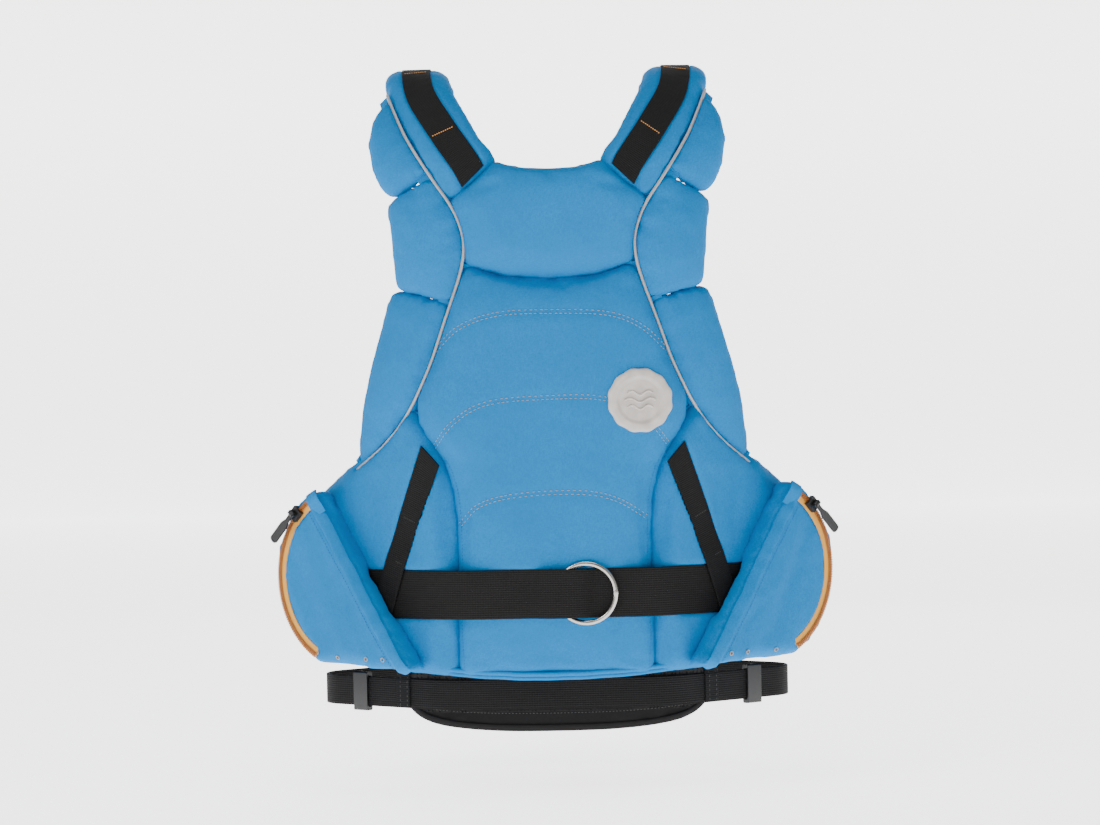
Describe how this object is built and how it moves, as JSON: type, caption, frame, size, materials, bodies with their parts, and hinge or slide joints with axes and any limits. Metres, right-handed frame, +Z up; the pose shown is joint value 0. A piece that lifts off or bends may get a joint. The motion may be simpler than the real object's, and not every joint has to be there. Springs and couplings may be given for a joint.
{
  "type": "whitewater rescue life jacket",
  "caption": "Pull-over foam buoyancy vest for river rescue, with a quick-release chest belt and towing ring, zipped pockets and a padded waist belt.",
  "frame": {"origin": "between the shoulder straps, level with the top of the shoulders that they rest on", "axes": "+Z up the wearer's body, -Y out of the wearer's back, +X to the wearer's right"},
  "size_m": [0.5022, 0.3335, 0.5857],
  "materials": {
    "blue_cloth": "plain-weave coated nylon, matt",
    "dark_cloth": "nylon lining, matt",
    "foam": "closed-cell foam slab",
    "black_webbing": "ribbed nylon webbing",
    "black_mesh": "spacer mesh with a bound edge",
    "black_plastic": "moulded acetal, satin",
    "silver_piping": "reflective piping",
    "zip_coil": "nylon zip coil on woven tape",
    "steel": "welded stainless ring, polished",
    "pale_rubber": "moulded patch, matt",
    "red_plastic": "moulded toggle ball"
  },
  "bodies": {
    "jacket": {"back_yoke_cover": "blue_cloth", "back_panel_cover": "blue_cloth", "front_cover": "blue_cloth", "front_pocket_body": "blue_cloth", "back_yoke_foam": "foam", "back_panel_foam": "foam", "front_foam": "foam", "back_lining": "dark_cloth", "front_lining": "dark_cloth", "badge": "pale_rubber", "lash_tab": "black_plastic", "rescue_buckle_frame": "black_plastic", "waist_buckle_female": "black_plastic", "rescue_belt": "black_webbing", "waist_belt": "black_webbing", "waist_pad": "black_mesh", "petal_upper_cover_right": "blue_cloth", "petal_upper_cover_left": "blue_cloth", "petal_upper_foam_right": "foam", "petal_upper_foam_left": "foam", "petal_middle_cover_right": "blue_cloth", "petal_middle_cover_left": "blue_cloth", "petal_middle_foam_right": "foam", "petal_middle_foam_left": "foam", "petal_lower_cover_right": "blue_cloth", "petal_lower_cover_left": "blue_cloth", "petal_lower_foam_right": "foam", "petal_lower_foam_left": "foam", "shoulder_pad_right": "blue_cloth", "shoulder_pad_left": "blue_cloth", "side_wing_right": "blue_cloth", "side_wing_left": "blue_cloth", "side_pocket_right": "blue_cloth", "side_pocket_left": "blue_cloth", "shoulder_webbing_right": "black_webbing", "shoulder_webbing_left": "black_webbing", "rescue_suspender_right": "black_webbing", "rescue_suspender_left": "black_webbing", "piping_right": "silver_piping", "piping_left": "silver_piping", "pocket_zip_right": "zip_coil", "pocket_zip_left": "zip_coil"},
    "rescue_lever": {"rescue_buckle_lever": "black_plastic", "release_toggle": "red_plastic"},
    "waist_clip": {"waist_buckle_male": "black_plastic"},
    "tow_ring": {"tow_ring": "steel"},
    "front_door": {"front_pocket_door": "blue_cloth", "front_pocket_zip": "zip_coil"},
    "front_slider": {"front_zip_slider": "black_plastic"},
    "front_pull": {"front_zip_pull": "black_plastic"},
    "pocket_slider_right": {"zip_slider_right": "black_plastic"},
    "pocket_pull_right": {"zip_pull_right": "black_plastic"},
    "shoulder_glide_right": {"shoulder_adjuster_right": "black_plastic"},
    "waist_glide_right": {"waist_adjuster_right": "black_plastic"},
    "pocket_slider_left": {"zip_slider_left": "black_plastic"},
    "pocket_pull_left": {"zip_pull_left": "black_plastic"},
    "shoulder_glide_left": {"shoulder_adjuster_left": "black_plastic"},
    "waist_glide_left": {"waist_adjuster_left": "black_plastic"}
  },
  "joints": [
    {"name": "rescue_lever_open", "type": "hinge", "parent": "jacket", "child": "rescue_lever", "pos_m": [0.022, 0.1614, -0.445], "axis": [0, 0, -1], "range_deg": [0, 90]},
    {"name": "waist_clip_release", "type": "slide", "parent": "jacket", "child": "waist_clip", "axis": [-1, 0, 0], "range_m": [0, 0.026]},
    {"name": "tow_ring_turn", "type": "hinge", "parent": "jacket", "child": "tow_ring", "pos_m": [0.026, -0.135, -0.445], "axis": [0.0788, 0.9969, 0], "continuous": true},
    {"name": "front_door_open", "type": "hinge", "parent": "jacket", "child": "front_door", "pos_m": [0, 0.177, -0.404], "axis": [-1, 0, 0], "range_deg": [0, 80]},
    {"name": "front_slider_run", "type": "slide", "parent": "front_door", "child": "front_slider", "axis": [0, 0, 1], "range_m": [-0.145, 0.004]},
    {"name": "front_pull_swing", "type": "hinge", "parent": "front_slider", "child": "front_pull", "pos_m": [0.058, 0.1911, -0.237], "axis": [1, 0, 0], "range_deg": [0, 160]},
    {"name": "pocket_slider_run_right", "type": "hinge", "parent": "jacket", "child": "pocket_slider_right", "pos_m": [0.18166, -0.08827, -0.43], "axis": [0.6247, -0.7809, 0], "range_deg": [-100, 6]},
    {"name": "pocket_pull_swing_right", "type": "hinge", "parent": "pocket_slider_right", "child": "pocket_pull_right", "pos_m": [0.2305, -0.061, -0.37485], "axis": [-0.5522, -0.4417, -0.7071], "range_deg": [0, 160]},
    {"name": "shoulder_glide_slide_right", "type": "hinge", "parent": "jacket", "child": "shoulder_glide_right", "pos_m": [0.07254, -0.00796, -0.1106], "axis": [-0.9411, -0.064, 0.3321], "range_deg": [-4, 4]},
    {"name": "waist_glide_slide_right", "type": "slide", "parent": "jacket", "child": "waist_glide_right", "axis": [0.7809, 0.6247, 0], "range_m": [-0.01, 0.01]},
    {"name": "pocket_slider_run_left", "type": "hinge", "parent": "jacket", "child": "pocket_slider_left", "pos_m": [-0.18166, -0.08827, -0.43], "axis": [0.6247, 0.7809, 0], "range_deg": [-100, 6]},
    {"name": "pocket_pull_swing_left", "type": "hinge", "parent": "pocket_slider_left", "child": "pocket_pull_left", "pos_m": [-0.2305, -0.061, -0.37485], "axis": [-0.5522, 0.4417, 0.7071], "range_deg": [0, 160]},
    {"name": "shoulder_glide_slide_left", "type": "hinge", "parent": "jacket", "child": "shoulder_glide_left", "pos_m": [-0.07254, -0.00796, -0.1106], "axis": [-0.9411, 0.064, -0.3321], "range_deg": [-4, 4]},
    {"name": "waist_glide_slide_left", "type": "slide", "parent": "jacket", "child": "waist_glide_left", "axis": [-0.7809, 0.6247, 0], "range_m": [-0.01, 0.01]}
  ]
}
